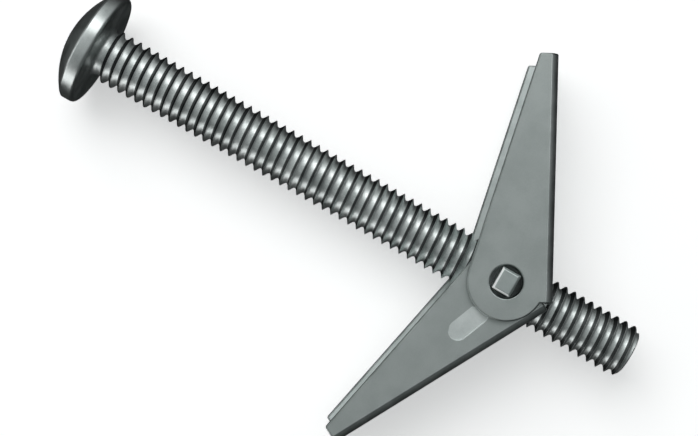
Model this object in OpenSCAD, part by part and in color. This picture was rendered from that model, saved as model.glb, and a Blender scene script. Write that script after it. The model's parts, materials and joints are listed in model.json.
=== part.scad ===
// Spring-wing toggle bolt. A machine screw carries a trunnion nut on its thread, two folding
// sheet-steel wings hinge on the nut's ears, and a torsion spring holds the wings open.
// Origin: centre of the flat underside of the head. +X runs along the screw to its tip,
// +Z along the nut's ears, +Y towards the outer wing. Millimetres.

/* [Screw] */
// Major diameter of the thread
thread_d = 7.94; // [7.84:0.02:8]
// Distance from one thread crest to the next
thread_pitch = 1.411; // [1.3:0.001:1.5]
// Depth of the thread, crest to root
thread_depth = 0.77; // [0.6:0.01:0.8]
// Number of thread crests
thread_crests = 61; // [40:1:61]
// Distance from the underside of the head to the first crest
first_crest = 1.4; // [1.3:0.05:1.6]
// Diameter of the head
head_d = 17; // [15:0.1:18]
// Thickness of the straight rim of the head
rim_h = 2.0; // [1.6:0.1:2.6]
// Height of the dome above the rim
dome_h = 3.1; // [2.6:0.1:3.6]

/* [Wings] */
// Distance from the underside of the head to the wings' pivot
pivot_x = 66.2; // [60:0.1:70]
// Width over the outer wing's two flanges
outer_w = 16.8; // [16.6:0.1:18]
// Thickness of the sheet steel
sheet = 0.9; // [0.7:0.05:0.9]
// Gap between the inner wing's flanges and the outer wing's
nest_gap = 0.2; // [0.15:0.05:0.3]
// Radius of the flange's round end about the pivot
disc_r = 5.5; // [5.4:0.05:5.6]
// Distance from the pivot to the tip, along the back
wing_len = 32.0; // [26:0.5:34]
// Width of the flange at the tip
tip_w = 1.6; // [1.4:0.1:3]
// Angle between the back and the screw's head direction, wings open
back_angle = 61.7; // [58:0.1:65]
// Radius of the pivot hole
hole_r = 2.3; // [2.3:0.05:2.5]

/* [Trunnion nut] */
// Thickness of the nut along the screw
nut_t = 5.2; // [4.6:0.1:5.4]
// Half width of the nut's body along the ears
nut_half = 4.75; // [4.7:0.05:4.9]
// Ear size along the screw
ear_x = 2.8; // [2.4:0.1:2.8]
// Ear size across the screw
ear_y = 3.4; // [3:0.1:3.4]
// How far each ear stands out of the outer wing
ear_proud = 0.6; // [0.4:0.1:1]

/* [Spring] */
// Diameter of the spring wire
wire_d = 0.6; // [0.5:0.05:0.6]
// Radius of the coil at the middle of the wire
coil_r = 3.5; // [3.3:0.1:3.8]
// Reach of each leg along its wing
leg_reach = 13; // [10:0.5:16]

/* [Hidden] */
$fn = 96;
eps = 0.01;

// Screw: a profile of [radius, station along X]
crest_r = thread_d / 2;
root_r = crest_r - thread_depth;
crest_flat = 0.1;
root_flat = 0.16;
head_r = head_d / 2;
head_h = rim_h + dome_h;
dome_r = (head_r * head_r + dome_h * dome_h) / (2 * dome_h);
rim_round = 0.6;
neck_r = crest_r - 0.6;
neck_fillet = 0.7;
end_r = root_r - 0.1;
last_crest = first_crest + thread_pitch * (thread_crests - 1);
screw_len = last_crest + 1.12;

// Cross recess in the head
recess_half = 3.4;
recess_foot = 1.3;
recess_depth = 3.5;
recess_slot = 1.5;
recess_cone_r = 1.6;

// Wings: inside each wing's own frame, x runs along the back to the tip and y towards the back
inner_w = outer_w - 2 * sheet - 2 * nest_gap;
bend_in = 0.15;
bend_out = bend_in + sheet;
web_in = disc_r + bend_in;
back_dir = 180 - back_angle;
outer_heel = 2.85;
inner_heel = 2.85;
web_past_heel = 0.1;
tip_y = disc_r - tip_w;
tip_round = 0.15;
tip_polar = atan2(tip_y, wing_len);
tip_dist = norm([wing_len, tip_y]);
edge_touch = tip_polar - acos(disc_r / tip_dist);
notch_half = 4.9;
notch_reach = 3.0;

// Half-lanced dimple in each of the inner wing's flanges
dimple_r = 1.5;
dimple_depth = 0.3;
dimple_end = [9.2, 2.2];
dimple_run = 3.6;

// Nut
nut_round = 5.35;
nut_corner = 6.2;
bore_r = crest_r + 0.1;
ear_end = outer_w / 2 + ear_proud;
ear_bevel = 0.3;

// Spring: the coil climbs along +Z from one leg to the other, between the nut and a flange
wire_r = wire_d / 2;
wire_sides = 8;
coil_pitch = wire_d + 0.1;
coil_steps = 30;
spring_z = nut_half + 0.15 + wire_r;
leg_y = web_in - wire_r - 0.05;
leg_touch = atan2(leg_y, leg_reach) + acos(coil_r / norm([leg_reach, leg_y]));
leg_start = back_dir - leg_touch;
coil_sweep = 360 + 2 * leg_start;

function arc(centre, r, a0, a1, n) =
    [for (i = [0 : n]) let (a = a0 + (a1 - a0) * i / n) centre + r * [cos(a), sin(a)]];

function dome_profile() =
    let (half = asin(head_r / dome_r))
    arc([0, dome_r - head_h], dome_r, -90, -90 + half, 12);

// Each crest, followed by the root on its tip side
function thread_profile() =
    [for (k = [0 : thread_crests - 1], p = [[crest_r, -crest_flat / 2],
                                            [crest_r, crest_flat / 2],
                                            [root_r, thread_pitch / 2 - root_flat / 2],
                                            [root_r, thread_pitch / 2 + root_flat / 2]])
        [p[0], p[1] + first_crest + k * thread_pitch]];

function screw_profile() = concat(
    dome_profile(),
    arc([head_r - rim_round, -rim_round], rim_round, 0, 90, 6),
    arc([neck_r + neck_fillet, neck_fillet], neck_fillet, 270, 180, 6),
    thread_profile(),
    [[end_r, screw_len], [0, screw_len]]);

module recess_slot_cut() {
    // One of the two crossed slots: a plate that narrows towards its foot
    rotate([90, 0, 0])
        translate([0, 0, -recess_slot / 2])
            linear_extrude(recess_slot)
                polygon([[-head_h - 1, -recess_half - 0.6], [-head_h - 1, recess_half + 0.6],
                         [-head_h + recess_depth, recess_foot],
                         [-head_h + recess_depth, -recess_foot]]);
}

module cross_recess() {
    for (turn = [45, 135]) rotate([turn, 0, 0]) recess_slot_cut();
    translate([-head_h - eps, 0, 0])
        rotate([0, 90, 0])
            cylinder(r1 = recess_cone_r, r2 = recess_foot, h = recess_depth);
}

module machine_screw() {
    color([0.56, 0.58, 0.57])
        difference() {
            rotate([0, 90, 0]) rotate_extrude() polygon(screw_profile());
            cross_recess();
        }
}

module bevelled_bar(width, length, bevel) {
    // Outline of a bar along Y whose four corners are bevelled
    polygon([for (s = [[1, 1], [-1, 1], [-1, -1], [1, -1]], e = s[0] * s[1] > 0 ? [0, 1] : [1, 0])
        [s[0] * (width / 2 - (e == 1 ? bevel : 0)),
         s[1] * (length / 2 - (e == 0 ? bevel : 0))]]);
}

module nut_ears() {
    intersection() {
        rotate([90, 0, 0])
            linear_extrude(ear_y, center = true) bevelled_bar(ear_x, 2 * ear_end, ear_bevel);
        rotate([90, 0, 90])
            linear_extrude(ear_x, center = true) bevelled_bar(ear_y, 2 * ear_end, ear_bevel);
    }
}

module nut_body() {
    intersection() {
        cylinder(r = nut_round, h = 2 * nut_half, center = true);
        rotate([0, 90, 0]) cylinder(r = nut_corner, h = nut_t, center = true);
    }
}

module trunnion_nut() {
    color([0.50, 0.52, 0.52])
        translate([pivot_x, 0, 0])
            difference() {
                union() {
                    nut_body();
                    nut_ears();
                }
                rotate([0, 90, 0]) cylinder(r = bore_r, h = nut_t + 2, center = true);
            }
}

module flange_outline(heel) {
    // Round end about the pivot, straight back, short tip, and a bearing edge tangent to the round end
    circle(r = disc_r);
    difference() {
        polygon([disc_r * [cos(edge_touch), sin(edge_touch)], [wing_len, tip_y], [wing_len, disc_r],
                 [-heel, disc_r], [-heel, 0]]);
        tip_corner_cut();
    }
}

module tip_corner_cut() {
    // Takes the sharp corner off the bearing edge where it meets the tip
    translate([wing_len, tip_y]) rotate(45) square(tip_round * sqrt(2), center = true);
}

module flange(width, side, heel) {
    translate([0, 0, side * (width / 2 - sheet / 2)])
        linear_extrude(sheet, center = true) flange_outline(heel);
}

module bend(width, side, heel) {
    // Quarter-round corner between a flange and the web
    translate([0, disc_r, side * (width / 2 - bend_out)])
        intersection() {
            rotate([0, 90, 0])
                difference() {
                    translate([0, 0, -heel]) cylinder(r = bend_out, h = wing_len + heel);
                    translate([0, 0, -heel - 1]) cylinder(r = bend_in, h = wing_len + heel + 2);
                }
            translate([-heel - 1, 0, side > 0 ? 0 : -2 * bend_out])
                cube([wing_len + heel + 2, 2 * bend_out, 2 * bend_out]);
        }
}

module screw_notch(web_heel) {
    // U-shaped opening at the heel of the web, which the screw passes through
    translate([notch_reach - notch_half, 0, 0])
        rotate([-90, 0, 0]) cylinder(r = notch_half, h = disc_r + bend_out + 1);
    translate([-web_heel - 1, 0, -notch_half])
        cube([notch_reach - notch_half + web_heel + 1, disc_r + bend_out + 1, 2 * notch_half]);
}

module web(width, web_heel) {
    half = width / 2 - bend_out;
    difference() {
        translate([-web_heel, web_in, -half]) cube([wing_len + web_heel, sheet, 2 * half]);
        screw_notch(web_heel);
    }
}

module dimple_shape(depth) {
    translate([dimple_end[0], dimple_end[1], 0]) rotate([0, 0, tip_polar]) {
        for (x = [-dimple_run, 0])
            translate([x, 0, 0]) cylinder(r = dimple_r, h = depth);
        translate([-dimple_run, -dimple_r, 0]) cube([dimple_run, 2 * dimple_r, depth]);
    }
}

module wing(width, heel, dimpled) {
    out = width / 2;
    in = out - sheet;
    difference() {
        union() {
            for (side = [-1, 1]) {
                flange(width, side, heel);
                bend(width, side, heel);
            }
            web(width, heel + web_past_heel);
            if (dimpled)
                for (m = [0, 1])
                    mirror([0, 0, m]) translate([0, 0, in - dimple_depth]) dimple_shape(sheet / 2);
        }
        cylinder(r = hole_r, h = width + 2, center = true);
        if (dimpled)
            for (m = [0, 1])
                mirror([0, 0, m]) translate([0, 0, out - dimple_depth]) dimple_shape(1);
    }
}

module place_wing() {
    translate([pivot_x, 0, 0]) rotate([0, 0, back_dir]) mirror([0, 1, 0]) children();
}

module outer_wing() {
    color([0.62, 0.66, 0.65]) place_wing() wing(outer_w, outer_heel, false);
}

module inner_wing() {
    color([0.58, 0.62, 0.61]) mirror([0, 1, 0]) place_wing() wing(inner_w, inner_heel, true);
}

// A point of the outer wing's own frame, turned into the row frame about the pivot
function from_wing(p, z) = [p[0] * cos(back_dir) + p[1] * sin(back_dir),
                            p[0] * sin(back_dir) - p[1] * cos(back_dir), z];

function coil_point(i) =
    let (a = -leg_start + coil_sweep * i / coil_steps)
    [coil_r * cos(a), coil_r * sin(a), spring_z + coil_pitch * (coil_sweep / 360) * i / coil_steps];

function spring_path() =
    let (coil = [for (i = [0 : coil_steps]) coil_point(i)],
         tip = [leg_reach, leg_y],
         low = from_wing(tip, coil[0][2]),
         high = from_wing(tip, coil[coil_steps][2]))
    concat([[low[0], -low[1], low[2]]], coil, [high]);

function unit(v) = v / norm(v);

function ring(path, i) =
    let (before = path[max(i - 1, 0)],
         after = path[min(i + 1, len(path) - 1)],
         side = unit(cross(after - before, [0, 0, 1])))
    [for (j = [0 : wire_sides - 1]) let (a = 360 * j / wire_sides)
        path[i] + wire_r * (cos(a) * side + sin(a) * [0, 0, 1])];

module swept_wire(path) {
    rings = len(path);
    points = [for (i = [0 : rings - 1]) each ring(path, i)];
    sides = [for (i = [0 : rings - 2], j = [0 : wire_sides - 1])
        let (k = (j + 1) % wire_sides)
        [i * wire_sides + j, i * wire_sides + k,
         (i + 1) * wire_sides + k, (i + 1) * wire_sides + j]];
    start = [for (j = [wire_sides - 1 : -1 : 0]) j];
    end = [for (j = [0 : wire_sides - 1]) (rings - 1) * wire_sides + j];
    polyhedron(points, concat(sides, [start, end]));
}

module torsion_spring() {
    color([0.45, 0.46, 0.47]) translate([pivot_x, 0, 0]) swept_wire(spring_path());
}

machine_screw();
trunnion_nut();
outer_wing();
inner_wing();
torsion_spring();
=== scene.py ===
"""Looks of a spring-wing toggle bolt: screw, trunnion nut, two folding wings and their spring."""

import json
import math

import bmesh
import bpy
from mathutils import Matrix, Vector
from mathutils.geometry import delaunay_2d_cdt


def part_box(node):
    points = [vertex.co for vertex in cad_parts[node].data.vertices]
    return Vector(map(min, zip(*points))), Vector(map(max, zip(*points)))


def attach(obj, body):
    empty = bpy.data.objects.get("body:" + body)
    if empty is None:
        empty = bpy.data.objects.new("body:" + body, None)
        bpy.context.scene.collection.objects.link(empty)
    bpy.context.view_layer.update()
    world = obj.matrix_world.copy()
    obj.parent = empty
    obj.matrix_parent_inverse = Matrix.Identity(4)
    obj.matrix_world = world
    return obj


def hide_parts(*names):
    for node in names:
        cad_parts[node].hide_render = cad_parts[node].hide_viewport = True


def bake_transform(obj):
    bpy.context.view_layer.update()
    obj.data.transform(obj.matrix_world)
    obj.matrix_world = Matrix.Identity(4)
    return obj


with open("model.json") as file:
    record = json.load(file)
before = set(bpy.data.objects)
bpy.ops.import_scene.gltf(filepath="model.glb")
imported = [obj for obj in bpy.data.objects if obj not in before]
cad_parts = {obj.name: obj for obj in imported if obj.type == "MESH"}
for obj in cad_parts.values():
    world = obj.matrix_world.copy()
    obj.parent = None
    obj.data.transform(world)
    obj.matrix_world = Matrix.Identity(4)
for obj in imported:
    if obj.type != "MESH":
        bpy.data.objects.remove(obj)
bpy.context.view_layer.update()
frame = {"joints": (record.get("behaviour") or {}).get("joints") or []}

# Every size below is in millimetres and is turned into metres when a mesh is made
MM = 0.001
UP = Vector((0, 0, 1))


def box_mm(node):
    """Lowest and highest corner of a CAD node, in millimetres."""
    low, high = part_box(node)
    return low / MM, high / MM


SCREW_LOW, SCREW_HIGH = box_mm("machine_screw")
NUT_LOW, NUT_HIGH = box_mm("trunnion_nut")
PIVOT_X = next(j["pos_m"][0] for j in frame["joints"] if j["type"] == "hinge") / MM

# Screw
SCREW_SIDES = 48
CREST_R = 3.97
ROOT_R = 3.20
PITCH = 1.411
FIRST_CREST = 1.4
LAST_CREST = FIRST_CREST + 60 * PITCH
HEAD_H = 5.1
SCREW_LEN = SCREW_HIGH.x
HEAD_R = 8.5
RIM_H = 2.0
RIM_ROUND = 0.6
DOME_EDGE_ROUND = 0.15
DOME_START = HEAD_R - 0.25
NECK_R = 3.35
NECK_FILLET = 0.7
RUN_IN = 0.3
RUN_IN_TURNS = 0.4
END_R = 3.1
END_SLOPE = 1.2
END_ROUND = 0.12
END_DISH = 0.25
# Thread shape from a crest to the next root: share of the pitch, share of the depth
THREAD_SHAPE = ((0.0, 0.0), (0.03, 0.03), (0.07, 0.12), (0.15, 0.36),
                (0.24, 0.62), (0.35, 0.865), (0.42, 0.96), (0.5, 1.0))
# Rolled threads reflect like shallow waves: tilt of the reflection towards the tip, in degrees
THREAD_TILT = ((-0.5, 0.0), (-0.35, -12.0), (-0.16, -30.0), (-0.07, 34.0),
               (0.03, 34.0), (0.17, 18.0), (0.3, 7.0), (0.5, 0.0))
# Painted shade: the flank on the head's side is coloured near black to stand in for the shade in the
# groove, wider near the head
PAINTED_SHADE_FROM = -0.36
PAINTED_SHADE_TO_NEAR_HEAD = 0.05
PAINTED_SHADE_TO = -0.1
PAINTED_SHADE_FADE = (12.0, 40.0)

# Head's dome: rings of its mesh, and the gap they keep round the recess
UNDERSIDE_RING = 5.6
DOME_RINGS = (1.9, 2.8, 3.7, 4.6, 5.4, 6.3, 7.2, 7.8)
RECESS_GAP = 0.25

# Cross recess, from its mouth on the dome to its foot
RECESS_TURN = math.radians(45)
RECESS_REACH = 3.25
RECESS_HALF_SLOT = 0.75
RECESS_CORNER = 0.9
RECESS_LIP = 0.13
RECESS_FOOT_SCALE = 0.32
RECESS_DEPTH = 3.4
RECESS_POINT = 0.3
# Rounded lip, ring by ring: share of RECESS_LIP that is left, and the drop below the dome
LIP_RINGS = ((0.35, 0.045), (0.0, 0.16))
# Rings of the walls: share of the way down to the foot
WALL_RINGS = (0.5, 0.96)

# Wings, in each wing's own frame: x along the back to the tip, y towards the back
SHEET = 0.9
DISC_R = 5.5
WING_LEN = 32.0
TIP_Y = 3.9
TIP_ROUND = 0.15
BACK_DIR = math.radians(118.3)
HOLE_R = 2.3
BEND_OUT = 1.05
BEND_STEPS = 8
BEND_SHARPNESS = 1.5
HEEL = 2.85
WEB_PAST_HEEL = 0.1
WEB_Y = DISC_R + BEND_OUT
NOTCH_HALF = 4.9
NOTCH_REACH = 3.0
CUT_ROUND = 0.25
BACK_STATIONS = 9

# Half-lanced dimple of the inner wing
DIMPLE_R = 1.5
DIMPLE_DEPTH = 0.3
DIMPLE_WALL = 0.16
DIMPLE_END = (9.2, 2.2)
DIMPLE_RUN = 3.6
DIMPLE_DIR = math.atan2(TIP_Y, WING_LEN)

# Nut
NUT_T = NUT_HIGH.x - NUT_LOW.x
NUT_HALF = 4.75
NUT_ROUND = 5.35
NUT_CORNER = 6.2
BORE_R = 4.07
BORE_CHAMFER = 0.35
EAR_X = 2.8
EAR_Y = 3.4
EAR_END = NUT_HIGH.z
EAR_BEVEL = 0.3
# How far past the body the near-black painted shade reaches onto each ear
EAR_PAINTED_SHADE = 0.3
NUT_EDGE_ROUND = 0.12

# Spring
WIRE_R = 0.3
WIRE_SIDES = 12
COIL_R = 3.5
COIL_PITCH = 0.7
COIL_STEPS = 60
LEG_STEPS = 12
SPRING_Z = 5.2
LEG_X = 13.0
LEG_Y = 5.3


# Material slots of the screw, the wings and the nut; slot 0 is the plain surface
# Screw slots: 1 is near-black painted shade on the thread's head-side flank; 2 and 3 are darker copies of
# the zinc, painted shade on the dome and the rim
THREAD_PAINTED_SHADE, DOME_PAINTED_SHADE, RIM_PAINTED_SHADE = 1, 2, 3
# Wing slots: 1 is a lighter copy of the zinc, painted light on the insides and in the dimple; 3 is a copy
# of the zinc tuned to the folds' shade, painted shade; 2 is the cut edge's own tone
WING_INSIDE_PAINTED_LIGHT, WING_CUT, WING_FOLD_PAINTED_SHADE = 1, 2, 3
# Nut slots: 1 is near-black painted shade on the body, 2 a near-white painted highlight on the ears'
# edges facing -X and -Y
NUT_PAINTED_SHADE, NUT_PAINTED_HIGHLIGHT = 1, 2


def arc(centre, radius, start, end, steps):
    """Points of a flat arc, angles in degrees, both ends included."""
    points = []
    for i in range(steps + 1):
        a = math.radians(start + (end - start) * i / steps)
        points.append((centre[0] + radius * math.cos(a), centre[1] + radius * math.sin(a)))
    return points


def smoothstep(t):
    """0 below t = 0, 1 above t = 1, and smooth between."""
    t = min(max(t, 0.0), 1.0)
    return t * t * (3 - 2 * t)


def make_piece(name, bm, materials, normals=()):
    """Turns a bmesh in millimetres into a smooth-shaded object in metres."""
    bmesh.ops.scale(bm, vec=(MM, MM, MM), verts=bm.verts)
    mesh = bpy.data.meshes.new(name)
    bm.to_mesh(mesh)
    bm.free()
    mesh.shade_smooth()
    if normals:
        mesh.normals_split_custom_set_from_vertices(normals)
    for material in materials:
        mesh.materials.append(material)
    piece = bpy.data.objects.new(name, mesh)
    bpy.context.scene.collection.objects.link(piece)
    return piece


def weight_normals(piece):
    """Lets the large flat faces keep their own normals, so only the rounded edges turn."""
    modifier = piece.modifiers.new("flat_faces", "WEIGHTED_NORMAL")
    modifier.mode = "FACE_AREA"
    modifier.weight = 100
    modifier.keep_sharp = True


# ---------------------------------------------------------------- screw


def thread_depth_share(offset):
    """Share of the thread's depth at a distance from the crest, given in pitches."""
    offset = abs(offset)
    for (a, low), (b, high) in zip(THREAD_SHAPE, THREAD_SHAPE[1:]):
        if offset <= b:
            return low + (high - low) * (offset - a) / (b - a)
    return THREAD_SHAPE[-1][1]


def crest_growth(x, turn):
    """How far the nearest crest has grown, from 0 at the thread's start to 1."""
    phase = (x - FIRST_CREST) / PITCH - turn
    return smoothstep((round(phase) + turn) / RUN_IN_TURNS + 1)


def shank_radius(x, turn):
    """Radius of the shank at a station and a turn from 0 to 1 about the axis, from +Y towards +Z."""
    phase = (x - FIRST_CREST) / PITCH - turn
    offset = phase - round(phase)
    grown = crest_growth(x, turn)
    thread = ROOT_R + (CREST_R - ROOT_R) * (1 - thread_depth_share(offset)) * grown
    run_in = smoothstep((x - NECK_FILLET) / RUN_IN)
    radius = NECK_R + (thread - NECK_R) * run_in
    chamfer = END_R + END_SLOPE * (SCREW_LEN - x)
    return min(radius, chamfer)


def ring(bm, x, radius):
    """A ring of vertices about the screw's axis. The radius is a number or a function of the turn."""
    verts = []
    for i in range(SCREW_SIDES):
        turn = i / SCREW_SIDES
        r = radius(turn) if callable(radius) else radius
        a = 2 * math.pi * turn
        verts.append(bm.verts.new((x, r * math.cos(a), r * math.sin(a))))
    return verts


def bridge(bm, first, second):
    """Faces between two rings of the same count."""
    count = len(first)
    for i in range(count):
        j = (i + 1) % count
        bm.faces.new((first[i], first[j], second[j], second[i]))


def thread_normal(offset, turn, weight):
    """The direction in which the thread reflects at an offset from its crest."""
    for (a, low), (b, high) in zip(THREAD_TILT, THREAD_TILT[1:]):
        if offset <= b:
            tilt = math.radians(low + (high - low) * (offset - a) / (b - a)) * weight
            break
    a = 2 * math.pi * turn
    return Vector((math.sin(tilt), math.cos(tilt) * math.cos(a), math.cos(tilt) * math.sin(a)))


def add_thread(bm, start_ring, end_ring, start_x, end_x, normals):
    """The helical thread between two flat rings. Rows follow the helix and stop at the rings."""
    shares = [row[0] for row in THREAD_SHAPE]
    offsets = sorted({-s for s in shares[1:-1]} | set(shares))
    rows_per_turn = len(offsets)
    first_turn = math.floor((start_x - FIRST_CREST) / PITCH) - 2
    turns = math.ceil((end_x - start_x) / PITCH) + 4
    made = {}

    def vertex(row, side):
        """The vertex of a row at a side, or the end ring's own where the thread has ended."""
        row += rows_per_turn * (side // SCREW_SIDES)
        side %= SCREW_SIDES
        turn = side / SCREW_SIDES
        share = offsets[row % rows_per_turn]
        x = FIRST_CREST + PITCH * (first_turn + row // rows_per_turn + share + turn)
        if x <= start_x + 0.01:
            return start_ring[side]
        if x >= end_x - 0.01:
            return end_ring[side]
        if (row, side) not in made:
            r = shank_radius(x, turn)
            a = 2 * math.pi * turn
            vert = bm.verts.new((x, r * math.cos(a), r * math.sin(a)))
            made[row, side] = vert
            normals[vert] = thread_normal(share - round(share - 1e-6), turn, crest_growth(x, turn))
        return made[row, side]

    for row in range(rows_per_turn * turns):
        share = offsets[row % rows_per_turn]
        for side in range(SCREW_SIDES):
            corners = [vertex(row, side), vertex(row, side + 1)]
            corners += [vertex(row + 1, side + 1), vertex(row + 1, side)]
            corners = [v for n, v in enumerate(corners) if v is not corners[n - 1]]
            if len(corners) > 2:
                face = bm.faces.new(corners)
                # Faces of the head-side flank get the near-black painted shade
                x = corners[0].co.x
                fade = smoothstep((x - PAINTED_SHADE_FADE[0]) / (PAINTED_SHADE_FADE[1] - PAINTED_SHADE_FADE[0]))
                painted_shade_to = PAINTED_SHADE_TO_NEAR_HEAD + (PAINTED_SHADE_TO - PAINTED_SHADE_TO_NEAR_HEAD) * fade
                in_painted_shade = PAINTED_SHADE_FROM < share < painted_shade_to and x < LAST_CREST + 0.5
                if in_painted_shade and crest_growth(x, side / SCREW_SIDES) > 0.5:
                    face.material_index = THREAD_PAINTED_SHADE


def dome_x(y, z):
    """Station of the head's dome at a place across it."""
    dome_h = HEAD_H - RIM_H
    radius = (HEAD_R ** 2 + dome_h ** 2) / (2 * dome_h)
    return radius - HEAD_H - math.sqrt(radius ** 2 - y ** 2 - z ** 2)


def cross_outline(grow, scale=1.0):
    """Outline of the cross recess, as (y, z) points, anticlockwise, with rounded inner corners."""
    half = RECESS_HALF_SLOT * (0.6 + 0.4 * scale) + grow
    reach = RECESS_REACH * scale + grow
    corner = RECESS_CORNER * scale
    quarter = [(reach, -half * 0.6), (reach, half * 0.6), (reach - 0.4 * half, half)]
    quarter += arc((half + corner, half + corner), corner, 270, 180, 4)
    quarter += [(half, reach - 0.4 * half)]
    points = []
    for turn in range(4):
        for y, z in quarter:
            a = RECESS_TURN + math.pi / 2 * turn
            points.append((y * math.cos(a) - z * math.sin(a), y * math.sin(a) + z * math.cos(a)))
    return points


def add_dome(bm, rim_ring):
    """The dome from the rim to the recess's mouth, then the recess's walls and foot."""
    outline = cross_outline(RECESS_LIP)
    points = []
    verts = []
    for i, vert in enumerate(rim_ring):
        points.append(Vector((vert.co.y, vert.co.z)))
        verts.append(vert)
    mouth_start = len(points)
    for y, z in outline:
        points.append(Vector((y, z)))
        verts.append(bm.verts.new((dome_x(y, z), y, z)))
    edges = [(i, (i + 1) % mouth_start) for i in range(mouth_start)]
    count = len(outline)
    edges += [(mouth_start + i, mouth_start + (i + 1) % count) for i in range(count)]
    for radius in DOME_RINGS:
        for i in range(SCREW_SIDES):
            a = 2 * math.pi * i / SCREW_SIDES
            y, z = radius * math.cos(a), radius * math.sin(a)
            if in_cross(y, z, RECESS_GAP):
                continue
            points.append(Vector((y, z)))
            verts.append(bm.verts.new((dome_x(y, z), y, z)))
    out = delaunay_2d_cdt(points, edges, [], 1, 1e-6)
    for face in out[2]:
        centre = sum((out[0][i] for i in face), Vector((0, 0))) / len(face)
        if in_cross(centre.x, centre.y, 0.0):
            continue
        # The dome's faces get the darker copy of the zinc: painted shade
        bm.faces.new([verts[out[3][i][0]] for i in face]).material_index = DOME_PAINTED_SHADE
    add_recess(bm, verts[mouth_start:mouth_start + count])


def in_cross(y, z, margin):
    """True inside the recess's mouth, grown by a margin."""
    outline = cross_outline(RECESS_LIP + margin)
    inside = False
    for (ay, az), (by, bz) in zip(outline, outline[1:] + outline[:1]):
        if (az > z) != (bz > z) and y < (by - ay) * (z - az) / (bz - az) + ay:
            inside = not inside
    return inside


def add_recess(bm, mouth):
    """Rounded lip, tapering walls and conical foot of the cross recess."""
    rings = [mouth]
    for grow, drop in LIP_RINGS:
        loop = []
        for y, z in cross_outline(RECESS_LIP * grow):
            loop.append(bm.verts.new((dome_x(y, z) + drop, y, z)))
        rings.append(loop)
    foot_x = -HEAD_H + RECESS_DEPTH
    for share in WALL_RINGS:
        loop = []
        scale = 1 + (RECESS_FOOT_SCALE - 1) * share
        for top, (y, z) in zip(rings[2], cross_outline(0.0, scale)):
            x = top.co.x + (foot_x - top.co.x) * share
            loop.append(bm.verts.new((x, y, z)))
        rings.append(loop)
    for first, second in zip(rings, rings[1:]):
        bridge(bm, first, second)
    centre = bm.verts.new((foot_x + RECESS_POINT, 0, 0))
    last = rings[-1]
    for i in range(len(last)):
        bm.faces.new((last[i], last[(i + 1) % len(last)], centre))


def build_screw(materials):
    """Mushroom head with its recess, neck, helical thread and chamfered tip, as one closed mesh."""
    bm = bmesh.new()
    profile = [(dome_x(DOME_START, 0), DOME_START)]
    corner = (-RIM_H + DOME_EDGE_ROUND * 0.9, HEAD_R - DOME_EDGE_ROUND)
    profile += arc(corner, DOME_EDGE_ROUND, 115, 90, 3)
    profile += arc((-RIM_ROUND, HEAD_R - RIM_ROUND), RIM_ROUND, 90, 0, 6)
    profile += [(0.0, UNDERSIDE_RING)]
    profile += arc((NECK_FILLET, NECK_R + NECK_FILLET), NECK_FILLET, 180, 270, 6)
    rings = [ring(bm, x, r) for x, r in profile]
    end_x = SCREW_LEN - END_ROUND
    rings_end = [ring(bm, end_x, lambda turn: shank_radius(end_x, turn))]
    rings_end.append(ring(bm, SCREW_LEN - 0.03, END_R - 0.04))
    rings_end.append(ring(bm, SCREW_LEN, END_R - END_ROUND))
    for share in (0.7, 0.4):
        rings_end.append(ring(bm, SCREW_LEN - END_DISH * (1 - share), (END_R - END_ROUND) * share))
    for group in (rings, rings_end):
        for first, second in zip(group, group[1:]):
            bridge(bm, first, second)
    normals = {}
    add_thread(bm, rings[-1], rings_end[0], NECK_FILLET, end_x, normals)
    tip = bm.verts.new((SCREW_LEN - END_DISH, 0, 0))
    last = rings_end[-1]
    for i in range(SCREW_SIDES):
        bm.faces.new((last[i], last[(i + 1) % SCREW_SIDES], tip))
    for face in bm.faces:
        middle = face.calc_center_median()
        radius = math.hypot(middle.y, middle.z)
        if middle.x < 0 and radius > HEAD_R - RIM_ROUND:
            # The rim gets a darker, smoother copy of the zinc: the darker tone is painted shade, the
            # lower roughness and finer grain are its own
            face.material_index = RIM_PAINTED_SHADE
    add_dome(bm, rings[0])
    bmesh.ops.recalc_face_normals(bm, faces=bm.faces)
    bm.normal_update()
    shown = [normals.get(v, v.normal) for v in bm.verts]
    return make_piece("screw_with_helical_thread", bm, materials, shown)


# ---------------------------------------------------------------- wings


def wing_point(x, y, z, side):
    """A point of a wing's own frame, in the row frame. Side is 1 for the outer wing, -1 for the inner."""
    across = x * math.sin(BACK_DIR) - y * math.cos(BACK_DIR)
    along = x * math.cos(BACK_DIR) + y * math.sin(BACK_DIR)
    return Vector((PIVOT_X + along, side * across, z))


class Skin:
    """The outer surface of a folded sheet: points, normals, faces, and which faces are pressed in."""

    def __init__(self):
        self.points = []
        self.normals = []
        self.faces = []
        self.pressed = set()
        self.index = {}

    def add(self, point, normal):
        """Index of a point. A point that is there already keeps its first normal."""
        key = tuple(round(c, 4) for c in point)
        if key not in self.index:
            self.index[key] = len(self.points)
            self.points.append(Vector(point))
            self.normals.append(Vector(normal))
        return self.index[key]


def back_stations():
    """Stations along the fold from the heel to the tip."""
    return [-HEEL + (WING_LEN + HEEL) * i / BACK_STATIONS for i in range(BACK_STATIONS + 1)]


def flange_outline():
    """Outline of a flange as (x, y) points, anticlockwise from the heel's corner."""
    edge_touch = math.degrees(DIMPLE_DIR - math.acos(DISC_R / math.hypot(WING_LEN, TIP_Y)))
    heel_angle = 180 - math.degrees(math.acos(HEEL / DISC_R))
    points = [(-HEEL, DISC_R)]
    points += arc((0, 0), DISC_R, heel_angle, 360 + edge_touch, 40)
    edge_x, edge_y = points[-1]
    run = math.hypot(WING_LEN - edge_x, TIP_Y - edge_y)
    share = TIP_ROUND / run
    points.append((WING_LEN - (WING_LEN - edge_x) * share, TIP_Y - (TIP_Y - edge_y) * share))
    points.append((WING_LEN, TIP_Y + TIP_ROUND))
    points += [(x, DISC_R) for x in reversed(back_stations()[1:])]
    return points


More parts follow.
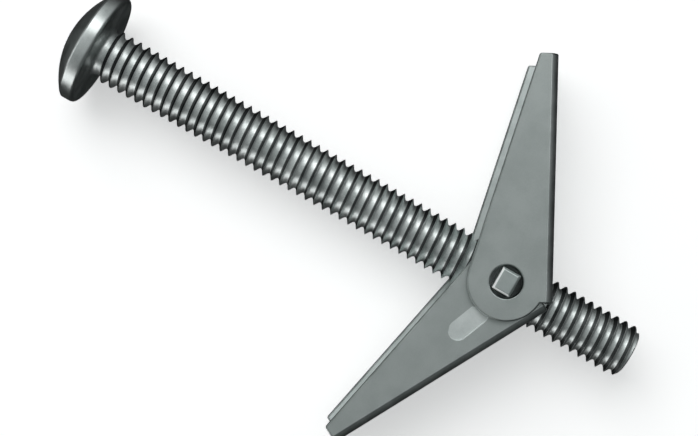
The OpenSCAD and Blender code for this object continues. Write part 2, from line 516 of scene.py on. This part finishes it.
def dimple_loop(radius):
    """Outline of the dimple at a radius about its middle line."""
    c, s = math.cos(DIMPLE_DIR), math.sin(DIMPLE_DIR)
    flat = arc((0, 0), radius, -90, 90, 16) + arc((-DIMPLE_RUN, 0), radius, 90, 270, 16)
    return [(DIMPLE_END[0] + x * c - y * s, DIMPLE_END[1] + x * s + y * c) for x, y in flat]


def dimple_drop(x, y):
    """How far the sheet is pressed in at a place on the flange: most along the side near the back."""
    c, s = math.cos(DIMPLE_DIR), math.sin(DIMPLE_DIR)
    dx, dy = x - DIMPLE_END[0], y - DIMPLE_END[1]
    along = dx * c + dy * s
    across = dy * c - dx * s
    gap = math.hypot(along - min(max(along, -DIMPLE_RUN), 0.0), across)
    wall = 1 - smoothstep((gap - DIMPLE_R + DIMPLE_WALL) / DIMPLE_WALL)
    low_side = 0.35 + 0.25 * min(along, 0.0) / DIMPLE_RUN
    slope = min(max(low_side + 0.65 * across / (DIMPLE_R - DIMPLE_WALL), 0.0), 1.0)
    return DIMPLE_DEPTH * wall * slope


def add_flange(skin, half, face_side, dimpled):
    """A flat flange at z = half or -half, with its pivot hole, as triangles of its outline."""
    loops = [flange_outline(), arc((0, 0), HOLE_R, 0, 360, 48)[:-1]]
    if dimpled:
        for share in (0.0, 0.25, 0.5, 0.75, 1.0):
            loops.append(dimple_loop(DIMPLE_R - DIMPLE_WALL * share))
    points = []
    edges = []
    for loop in loops:
        start = len(points)
        points += [Vector(p) for p in loop]
        edges += [(start + i, start + (i + 1) % len(loop)) for i in range(len(loop))]
    out = delaunay_2d_cdt(points, edges, [], 1, 1e-5)
    ids = []
    for x, y in out[0]:
        drop = dimple_drop(x, y) if dimpled else 0.0
        ids.append(skin.add((x, y, face_side * (half - drop)), (0, 0, face_side)))
    for face in out[2]:
        centre = sum((out[0][i] for i in face), Vector((0, 0))) / 3
        if centre.length < HOLE_R:
            continue
        if dimpled and max(dimple_drop(*out[0][i]) for i in face) > 0.02:
            skin.pressed.add(len(skin.faces))
        skin.faces.append([ids[i] for i in face])


def add_bend(skin, half, face_side):
    """The fold between a flange and the web, rounded but pressed a little sharper at its sides."""
    rows = []
    for step in range(BEND_STEPS + 1):
        a = 0.5 * math.pi * step / BEND_STEPS
        normal = (0, math.sin(a), face_side * math.cos(a))
        y = DISC_R + BEND_OUT * math.sin(a) ** BEND_SHARPNESS
        z = face_side * (half - BEND_OUT + BEND_OUT * max(math.cos(a), 0.0) ** BEND_SHARPNESS)
        row = []
        for n, x in enumerate(back_stations()):
            if n == 0:
                x = -HEEL - WEB_PAST_HEEL * step / BEND_STEPS
            row.append(skin.add((x, y, z), normal))
        rows.append(row)
    for first, second in zip(rows, rows[1:]):
        for n in range(len(first) - 1):
            skin.faces.append([first[n], first[n + 1], second[n + 1], second[n]])


def add_web(skin, half):
    """The flat web that joins the two folds, with its notch for the screw."""
    side = half - BEND_OUT
    web_heel = HEEL + WEB_PAST_HEEL
    stations = [-web_heel] + back_stations()[1:]
    outline = [(x, -side) for x in stations]
    outline += [(x, side) for x in reversed(stations)]
    centre = NOTCH_REACH - NOTCH_HALF
    outline += [(-web_heel, NOTCH_HALF)]
    outline += arc((centre, 0), NOTCH_HALF, 90, -90, 24)
    outline += [(-web_heel, -NOTCH_HALF)]
    points = [Vector(p) for p in outline]
    edges = [(i, (i + 1) % len(points)) for i in range(len(points))]
    out = delaunay_2d_cdt(points, edges, [], 1, 1e-5)
    ids = [skin.add((x, WEB_Y, z), (0, 1, 0)) for x, z in out[0]]
    skin.faces += [[ids[i] for i in face] for face in out[2]]


def surface_normals(bm, bevels, side):
    """Vertex normals: a flat side keeps its own, then a fold or the dimple, then a cut edge."""
    web = wing_point(0, 1, 0, side) - wing_point(0, 0, 0, side)

    def is_flat(face):
        """True on a flange's or the web's flat side."""
        return max(abs(face.normal.z), abs(face.normal.dot(web))) > 0.9999

    bm.normal_update()
    normals = []
    for vert in bm.verts:
        plain = [f for f in vert.link_faces if f not in bevels]
        sides = [f for f in plain if f.material_index != WING_CUT]
        flats = [f for f in sides if is_flat(f)]
        faces = flats or sides or plain or vert.link_faces
        total = sum((f.normal * f.calc_area() for f in faces), Vector())
        normals.append(total.normalized())
    return normals


def build_wing(name, node, side, dimpled, materials):
    """A folded sheet-steel wing: outer skin, inner skin one sheet below, and rounded cut edges."""
    half = box_mm(node)[1].z
    skin = Skin()
    for face_side in (1, -1):
        add_flange(skin, half, face_side, dimpled)
        add_bend(skin, half, face_side)
    add_web(skin, half)
    bm = bmesh.new()
    outer = [bm.verts.new(wing_point(*p, side)) for p in skin.points]
    for n, face in enumerate(skin.faces):
        on_fold = max(skin.points[i].y for i in face) > DISC_R + 0.01
        made = bm.faces.new([outer[i] for i in face])
        if on_fold:
            # Folds and web get their own fully metallic copy of the zinc, tuned to stand in for their
            # shade: painted shade
            made.material_index = WING_FOLD_PAINTED_SHADE
        elif n in skin.pressed:
            # Pressed dimple faces get the lighter copy of the zinc: painted light
            made.material_index = WING_INSIDE_PAINTED_LIGHT
    bmesh.ops.recalc_face_normals(bm, faces=bm.faces)
    flat = next(f for f in bm.faces if min(v.co.z for v in f.verts) > half - 0.001)
    flat.normal_update()
    if flat.normal.z < 0:
        bmesh.ops.reverse_faces(bm, faces=bm.faces[:])
    inner = [bm.verts.new(wing_point(*(p - SHEET * n), side)) for p, n in zip(skin.points, skin.normals)]
    below = dict(zip(outer, inner))
    rims = [e for e in bm.edges if e.is_boundary]
    for face in bm.faces[:]:
        twin = bm.faces.new([below[v] for v in reversed(face.verts)])
        # The inner skin gets the lighter copy of the zinc: painted light
        twin.material_index = WING_INSIDE_PAINTED_LIGHT
    cut_edges = []
    for edge in rims:
        face = edge.link_faces[0]
        loop = next(l for l in face.loops if l.edge is edge)
        a, b = loop.vert, loop.link_loop_next.vert
        rim = bm.faces.new((b, a, below[a], below[b]))
        rim.material_index = WING_CUT
        cut_edges += [edge, bm.edges.get((below[a], below[b]))]
    rounded = bmesh.ops.bevel(bm, geom=cut_edges, offset=CUT_ROUND, segments=3, profile=0.5,
                              affect="EDGES", clamp_overlap=False, material=WING_CUT)
    normals = surface_normals(bm, set(rounded["faces"]), side)
    return make_piece(name, bm, materials, normals)


# ---------------------------------------------------------------- nut


def temporary(bm):
    """A scratch object for a boolean step."""
    return make_piece("scratch", bm, [])


def cylinder(radius, depth, axis):
    """A closed cylinder about the pivot's centre, along an axis."""
    bm = bmesh.new()
    bmesh.ops.create_cone(bm, cap_ends=True, segments=72, radius1=radius, radius2=radius, depth=depth)
    turn = UP.rotation_difference(axis).to_matrix().to_4x4()
    bmesh.ops.transform(bm, matrix=Matrix.Translation((PIVOT_X, 0, 0)) @ turn, verts=bm.verts)
    return bm


def combine(base, other, operation):
    """Applies one boolean step to base and removes the other object."""
    modifier = base.modifiers.new("step", "BOOLEAN")
    modifier.operation = operation
    modifier.solver = "EXACT"
    modifier.object = other
    settle(base)
    bpy.data.objects.remove(other)


def settle(piece):
    """Replaces a piece's mesh with the result of its modifiers."""
    graph = bpy.context.evaluated_depsgraph_get()
    mesh = bpy.data.meshes.new_from_object(piece.evaluated_get(graph))
    piece.modifiers.clear()
    piece.data = mesh


def ear_bar():
    """The bar that both ears are the ends of, with bevelled ends."""
    bm = bmesh.new()
    rings = []
    shoulder = EAR_END - EAR_BEVEL
    for z, inset in ((-EAR_END, EAR_BEVEL), (-shoulder, 0), (shoulder, 0), (EAR_END, EAR_BEVEL)):
        x, y = EAR_X / 2 - inset, EAR_Y / 2 - inset
        corners = ((x, y), (-x, y), (-x, -y), (x, -y))
        rings.append([bm.verts.new((PIVOT_X + cx, cy, z)) for cx, cy in corners])
    for first, second in zip(rings, rings[1:]):
        for i in range(4):
            j = (i + 1) % 4
            bm.faces.new((first[i], first[j], second[j], second[i]))
    bm.faces.new(list(reversed(rings[0])))
    bm.faces.new(rings[-1])
    bmesh.ops.recalc_face_normals(bm, faces=bm.faces)
    return bm


def bore_cutter():
    """The bore with a chamfered mouth at each end."""
    bm = bmesh.new()
    half = NUT_T / 2
    stations = ((-half - 1, BORE_R + BORE_CHAMFER + 1), (-half + BORE_CHAMFER, BORE_R),
                (half - BORE_CHAMFER, BORE_R), (half + 1, BORE_R + BORE_CHAMFER + 1))
    rings = []
    for x, radius in stations:
        loop = []
        for y, z in arc((0, 0), radius, 0, 360, 64)[:-1]:
            loop.append(bm.verts.new((PIVOT_X + x, y, z)))
        rings.append(loop)
    for first, second in zip(rings, rings[1:]):
        bridge(bm, first, second)
    bm.faces.new(rings[0])
    bm.faces.new(list(reversed(rings[-1])))
    bmesh.ops.recalc_face_normals(bm, faces=bm.faces)
    return bm


def build_nut(materials):
    """Trunnion nut: a rounded block on the screw, its body painted near black as shade, and an ear at
    each side with two edges painted near white as highlight.
    """
    nut = temporary(cylinder(NUT_ROUND, 2 * NUT_HALF, UP))
    nut.name = "nut_with_ears"
    combine(nut, temporary(cylinder(NUT_CORNER, NUT_T, Vector((1, 0, 0)))), "INTERSECT")
    combine(nut, temporary(ear_bar()), "UNION")
    combine(nut, temporary(bore_cutter()), "DIFFERENCE")
    bevel = nut.modifiers.new("edges", "BEVEL")
    bevel.width = NUT_EDGE_ROUND * MM
    bevel.segments = 3
    bevel.limit_method = "ANGLE"
    bevel.angle_limit = math.radians(35)
    bevel.use_clamp_overlap = False
    settle(nut)
    nut.data.shade_smooth()
    nut.data.materials.clear()
    for material in materials:
        nut.data.materials.append(material)
    for face in nut.data.polygons:
        slanted = 0.2 < abs(face.normal.z) < 0.9
        # The body between the ears gets near-black painted shade
        if abs(face.center.z) < (NUT_HALF + EAR_PAINTED_SHADE) * MM:
            face.material_index = NUT_PAINTED_SHADE
        elif slanted and face.normal.x + face.normal.y < -0.2:
            # Ear bevels facing -X and -Y get a near-white painted highlight
            face.material_index = NUT_PAINTED_HIGHLIGHT
    weight_normals(nut)
    return nut


# ---------------------------------------------------------------- spring


def leg_start():
    """Angle from the +X direction at which the wire leaves the coil for the outer wing's web."""
    touch = math.atan2(LEG_Y, LEG_X) + math.acos(COIL_R / math.hypot(LEG_X, LEG_Y))
    return BACK_DIR - touch


def coil_point(angle):
    """A point of the coil at an angle from +X towards +Y. The coil rises from the inner wing's leg."""
    rise = COIL_PITCH * (angle + leg_start()) / (2 * math.pi)
    return Vector((PIVOT_X + COIL_R * math.cos(angle), COIL_R * math.sin(angle), SPRING_Z + rise))


def wire(name, path, materials):
    """A round wire along a path, with flat ends, as a closed mesh."""
    bm = bmesh.new()
    rings = []
    count = len(path)
    for n, point in enumerate(path):
        ahead = path[min(n + 1, count - 1)] - path[max(n - 1, 0)]
        side = ahead.cross(UP).normalized()
        lift = side.cross(ahead).normalized()
        loop = []
        for i in range(WIRE_SIDES):
            a = 2 * math.pi * i / WIRE_SIDES
            loop.append(bm.verts.new(point + WIRE_R * (math.cos(a) * side + math.sin(a) * lift)))
        rings.append(loop)
    for first, second in zip(rings, rings[1:]):
        bridge(bm, first, second)
    for loop in (rings[0], rings[-1]):
        bm.faces.new(loop)
    bmesh.ops.recalc_face_normals(bm, faces=bm.faces)
    return make_piece(name, bm, materials)


def half_spring(name, side, materials):
    """Half of the coil and one leg: side 1 reaches the outer wing, -1 the inner wing."""
    turn = side * (math.pi + leg_start())
    path = [coil_point(math.pi + turn * i / COIL_STEPS) for i in range(COIL_STEPS + 1)]
    end = wing_point(LEG_X, LEG_Y, path[-1].z, side)
    last = path[-1]
    path += [last.lerp(end, n / LEG_STEPS) for n in range(1, LEG_STEPS + 1)]
    return wire(name, path, materials)


# ---------------------------------------------------------------- materials

# Sizes of the noise, and how its middle values spread over the two tones and the roughness
PATCH_SCALE = 260.0
SPECK_SCALE = 5200.0
TONE_RANGE = (0.36, 0.64)
GLOSS_FROM = (0.3, 0.7)
GLOSS_TO = (0.88, 1.12)


def metal(name, base, dark, roughness, grain, wear, metallic=1.0):
    """Zinc-plated steel: mottled tone, patchy roughness and a fine grain."""
    material = bpy.data.materials.new(name)
    material.use_nodes = True
    tree = material.node_tree
    nodes, links = tree.nodes, tree.links
    shader = nodes["Principled BSDF"]
    shader.inputs["Metallic"].default_value = metallic
    place = nodes.new("ShaderNodeTexCoord")

    def noise(scale, detail, rough=0.6):
        """A noise texture fixed to the piece."""
        node = nodes.new("ShaderNodeTexNoise")
        node.inputs["Scale"].default_value = scale
        node.inputs["Detail"].default_value = detail
        node.inputs["Roughness"].default_value = rough
        links.new(place.outputs["Object"], node.inputs["Vector"])
        return node

    patches = noise(PATCH_SCALE, 4.0)
    specks = noise(SPECK_SCALE, 3.0, 0.7)
    tone = nodes.new("ShaderNodeMix")
    tone.data_type = "RGBA"
    tone.inputs["A"].default_value = (*dark, 1.0)
    tone.inputs["B"].default_value = (*base, 1.0)
    spread = nodes.new("ShaderNodeMapRange")
    spread.inputs["From Min"].default_value = TONE_RANGE[0] + wear / 2
    spread.inputs["From Max"].default_value = TONE_RANGE[1] + wear / 2
    blend = nodes.new("ShaderNodeMath")
    blend.operation = "MULTIPLY_ADD"
    blend.inputs[1].default_value = wear
    links.new(specks.outputs["Fac"], blend.inputs[0])
    links.new(patches.outputs["Fac"], blend.inputs[2])
    links.new(blend.outputs[0], spread.inputs["Value"])
    links.new(spread.outputs[0], tone.inputs["Factor"])
    links.new(tone.outputs["Result"], shader.inputs["Base Color"])

    gloss = nodes.new("ShaderNodeMapRange")
    gloss.inputs["From Min"].default_value = GLOSS_FROM[0]
    gloss.inputs["From Max"].default_value = GLOSS_FROM[1]
    gloss.inputs["To Min"].default_value = roughness * GLOSS_TO[0]
    gloss.inputs["To Max"].default_value = roughness * GLOSS_TO[1]
    links.new(patches.outputs["Fac"], gloss.inputs["Value"])
    links.new(gloss.outputs[0], shader.inputs["Roughness"])

    bump = nodes.new("ShaderNodeBump")
    bump.inputs["Strength"].default_value = grain
    bump.inputs["Distance"].default_value = 0.02 * MM
    links.new(specks.outputs["Fac"], bump.inputs["Height"])
    links.new(bump.outputs["Normal"], shader.inputs["Normal"])
    return material


# ---------------------------------------------------------------- stage, lights and camera

CAMERA_AT = Vector((46.336, -7.014, 238.507))
CAMERA_TARGET = Vector((42.75, -3.06, 0.0))
CAMERA_ROLL = 29.90
CAMERA_LENS = 85.57
FLOOR_GLOW = 0.44
SKY_AXIS = (-0.45, 0.47, 0.76)
SKY_STOPS = ((0.0, (0.07, 0.075, 0.075)), (0.2, (0.2, 0.21, 0.21)), (0.45, (0.32, 0.335, 0.335)),
             (0.8, (0.42, 0.44, 0.44)), (1.0, (0.46, 0.48, 0.48)))
# The surround dims to a part of its strength where its direction's Z is below the horizon
HORIZON = (-0.12, 0.04)
HORIZON_LOW = 0.25


def add_camera():
    """The camera, which looks almost along the hinge axis and is rolled about its own view line."""
    data = bpy.data.cameras.new("camera")
    data.lens = CAMERA_LENS
    data.sensor_width = 36.0
    data.clip_start = 0.001
    data.clip_end = 20.0
    look = (CAMERA_TARGET - CAMERA_AT).normalized()
    right = (Vector((1, 0, 0)) - look * look.x).normalized()
    up = right.cross(look)
    roll = math.radians(CAMERA_ROLL)
    right = right * math.cos(roll) + up * math.sin(roll)
    up = right.cross(look)
    camera = bpy.data.objects.new("camera", data)
    turn = Matrix((right, up, -look)).transposed().to_4x4()
    camera.matrix_world = Matrix.Translation(CAMERA_AT * MM) @ turn
    bpy.context.scene.collection.objects.link(camera)
    bpy.context.scene.camera = camera


def add_softbox(name, direction, distance, size, radiance, lights):
    """A rectangular light that faces the part, its first side as near to the screw's line as it goes.

    Lights is "metal" for a box that is only seen in the metal, or "floor" for one that only
    lights the floor and casts the part's shadow.
    """
    away = Vector(direction).normalized()
    along = (Vector((1, 0, 0)) - away * away.x).normalized()
    across = away.cross(along)
    centre = Vector(((SCREW_LOW.x + SCREW_HIGH.x) / 2, 0, 0))
    data = bpy.data.lights.new(name, "AREA")
    data.shape = "RECTANGLE"
    data.size = size[0] * MM
    data.size_y = size[1] * MM
    data.energy = radiance * math.pi * data.size * data.size_y
    light = bpy.data.objects.new(name, data)
    turn = Matrix((along, across, away)).transposed().to_4x4()
    light.matrix_world = Matrix.Translation((centre + away * distance) * MM) @ turn
    light.visible_diffuse = lights == "floor"
    light.visible_glossy = lights == "metal"
    bpy.context.scene.collection.objects.link(light)


def add_floor():
    """A plain white floor under the part."""
    bm = bmesh.new()
    reach = 2500.0
    corners = ((-reach, -reach), (reach, -reach), (reach, reach), (-reach, reach))
    bm.faces.new([bm.verts.new((x, y, NUT_LOW.z)) for x, y in corners])
    material = bpy.data.materials.new("floor_white")
    material.use_nodes = True
    shader = material.node_tree.nodes["Principled BSDF"]
    shader.inputs["Base Color"].default_value = (0.93, 0.93, 0.93, 1.0)
    shader.inputs["Roughness"].default_value = 0.9
    shader.inputs["Emission Color"].default_value = (1.0, 1.0, 1.0, 1.0)
    shader.inputs["Emission Strength"].default_value = FLOOR_GLOW
    floor = make_piece("floor", bm, [material])
    floor.visible_glossy = False


def add_world():
    """Soft studio surround, brightest above the head's far side, and plain white to the camera."""
    world = bpy.data.worlds.new("studio")
    bpy.context.scene.world = world
    world.use_nodes = True
    nodes, links = world.node_tree.nodes, world.node_tree.links
    back = nodes["Background"]
    place = nodes.new("ShaderNodeTexCoord")
    toward = nodes.new("ShaderNodeVectorMath")
    toward.operation = "DOT_PRODUCT"
    toward.inputs[1].default_value = SKY_AXIS
    ramp = nodes.new("ShaderNodeValToRGB")
    links.new(place.outputs["Generated"], toward.inputs[0])
    links.new(toward.outputs["Value"], ramp.inputs["Fac"])
    ramp.color_ramp.elements[0].position = SKY_STOPS[0][0]
    ramp.color_ramp.elements[0].color = (*SKY_STOPS[0][1], 1)
    ramp.color_ramp.elements[1].position = SKY_STOPS[-1][0]
    ramp.color_ramp.elements[1].color = (*SKY_STOPS[-1][1], 1)
    for position, colour in SKY_STOPS[1:-1]:
        ramp.color_ramp.elements.new(position).color = (*colour, 1)
    pale = nodes.new("ShaderNodeBackground")
    pale.inputs["Color"].default_value = (1.0, 1.0, 1.0, 1.0)
    path = nodes.new("ShaderNodeLightPath")
    mix = nodes.new("ShaderNodeMixShader")
    split = nodes.new("ShaderNodeSeparateXYZ")
    horizon = nodes.new("ShaderNodeMapRange")
    horizon.inputs["From Min"].default_value = HORIZON[0]
    horizon.inputs["From Max"].default_value = HORIZON[1]
    horizon.inputs["To Min"].default_value = HORIZON_LOW
    links.new(place.outputs["Generated"], split.inputs[0])
    links.new(split.outputs["Z"], horizon.inputs["Value"])
    links.new(horizon.outputs[0], back.inputs["Strength"])
    links.new(ramp.outputs["Color"], back.inputs["Color"])
    links.new(path.outputs["Is Camera Ray"], mix.inputs["Fac"])
    links.new(back.outputs[0], mix.inputs[1])
    links.new(pale.outputs[0], mix.inputs[2])
    links.new(mix.outputs[0], nodes["World Output"].inputs["Surface"])


def main():
    """Builds every piece, hangs the screw, the nut and the wings on their bodies, and sets the stage."""
    add_camera()
    screw_metal = metal("screw_zinc", base=(0.82, 0.86, 0.85), dark=(0.54, 0.58, 0.57),
                        roughness=0.4, grain=0.35, wear=0.6)
    # Near-black copy of the zinc: painted shade on the thread's head-side flank
    thread_shade_metal = metal("thread_painted_shade", base=(0.07, 0.075, 0.075), dark=(0.04, 0.045, 0.045),
                       roughness=0.45, grain=0.2, wear=0.2)
    # Darker copy of the screw's zinc: painted shade on the dome
    dome_shade_metal = metal("head_dome_zinc_painted_shade", base=(0.36, 0.385, 0.38), dark=(0.27, 0.29, 0.285),
                       roughness=0.42, grain=0.4, wear=0.4)
    # Darker, smoother copy of the screw's zinc on the rim: the darker tone is painted shade
    rim_shade_metal = metal("head_rim_zinc_painted_shade", base=(0.72, 0.76, 0.75), dark=(0.52, 0.56, 0.55),
                      roughness=0.34, grain=0.15, wear=0.3)
    face_metal = metal("wing_face_zinc", base=(0.435, 0.475, 0.465), dark=(0.395, 0.435, 0.425),
                       roughness=0.38, grain=0.4, wear=0.6, metallic=0.7)
    # Lighter copy of the wings' zinc: painted light on the insides and in the dimple
    inner_lit_metal = metal("wing_inside_zinc_painted_light", base=(0.70, 0.75, 0.74), dark=(0.58, 0.63, 0.62),
                        roughness=0.4, grain=0.3, wear=0.25, metallic=0.3)
    cut_metal = metal("wing_cut_edge", base=(0.42, 0.46, 0.45), dark=(0.28, 0.31, 0.30),
                      roughness=0.35, grain=0.4, wear=0.4)
    # Fully metallic copy of the wings' zinc, tuned to the folds' shade: painted shade
    fold_shade_metal = metal("wing_fold_zinc_painted_shade", base=(0.70, 0.75, 0.74), dark=(0.56, 0.61, 0.60),
                       roughness=0.36, grain=0.4, wear=0.3)
    nut_metal = metal("nut_zinc", base=(0.48, 0.53, 0.52), dark=(0.40, 0.45, 0.44),
                      roughness=0.34, grain=0.25, wear=0.2, metallic=0.7)
    # Near-black copy of the nut's zinc: painted shade on the body between the wings
    nut_shade_metal = metal("nut_painted_shade", base=(0.30, 0.32, 0.32), dark=(0.2, 0.22, 0.22),
                     roughness=0.45, grain=0.3, wear=0.2)
    # Near-white material: painted highlight on the ears' bevels facing -X and -Y
    nut_highlight_metal = metal("nut_painted_highlight_edge", base=(0.95, 0.97, 0.96), dark=(0.85, 0.88, 0.87),
                       roughness=0.4, grain=0.25, wear=0.2, metallic=0.1)
    wire_metal = metal("spring_wire_steel", base=(0.45, 0.46, 0.47), dark=(0.36, 0.37, 0.38),
                       roughness=0.28, grain=0.3, wear=0.2)

    screw = build_screw([screw_metal, thread_shade_metal, dome_shade_metal, rim_shade_metal])
    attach(screw, "screw")
    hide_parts("machine_screw")

    nut = build_nut([nut_metal, nut_shade_metal, nut_highlight_metal])
    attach(nut, "nut")
    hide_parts("trunnion_nut")

    wings = (("outer_wing_folded", "outer_wing", "wing_outer", 1, False),
             ("inner_wing_folded", "inner_wing", "wing_inner", -1, True))
    wing_metals = [face_metal, inner_lit_metal, cut_metal, fold_shade_metal]
    for name, node, body, side, dimpled in wings:
        wing = build_wing(name, node, side, dimpled, wing_metals)
        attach(wing, body)
        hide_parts(node)

    upper = half_spring("spring_upper_half", 1, [wire_metal])
    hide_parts("torsion_spring")
    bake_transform(upper)
    lower = half_spring("spring_lower_half", -1, [wire_metal])
    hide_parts("torsion_spring")
    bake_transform(lower)

    add_floor()
    add_world()
    add_softbox("sheen_far_side", direction=(-0.25, 0.57, 0.77), distance=500,
                size=(800, 220), radiance=1.9, lights="metal")
    add_softbox("sheen_near_side", direction=(-0.25, -0.95, 0.1), distance=500,
                size=(800, 220), radiance=1.75, lights="metal")
    add_softbox("sheen_head_side", direction=(-1.0, -0.25, 0.2), distance=500,
                size=(110, 400), radiance=1.3, lights="metal")
    add_softbox("shadow_key", direction=(-0.45, 0.3, 0.95), distance=700,
                size=(520, 520), radiance=2.5, lights="floor")
    settings = bpy.context.scene.view_settings
    settings.view_transform = "Standard"


main()
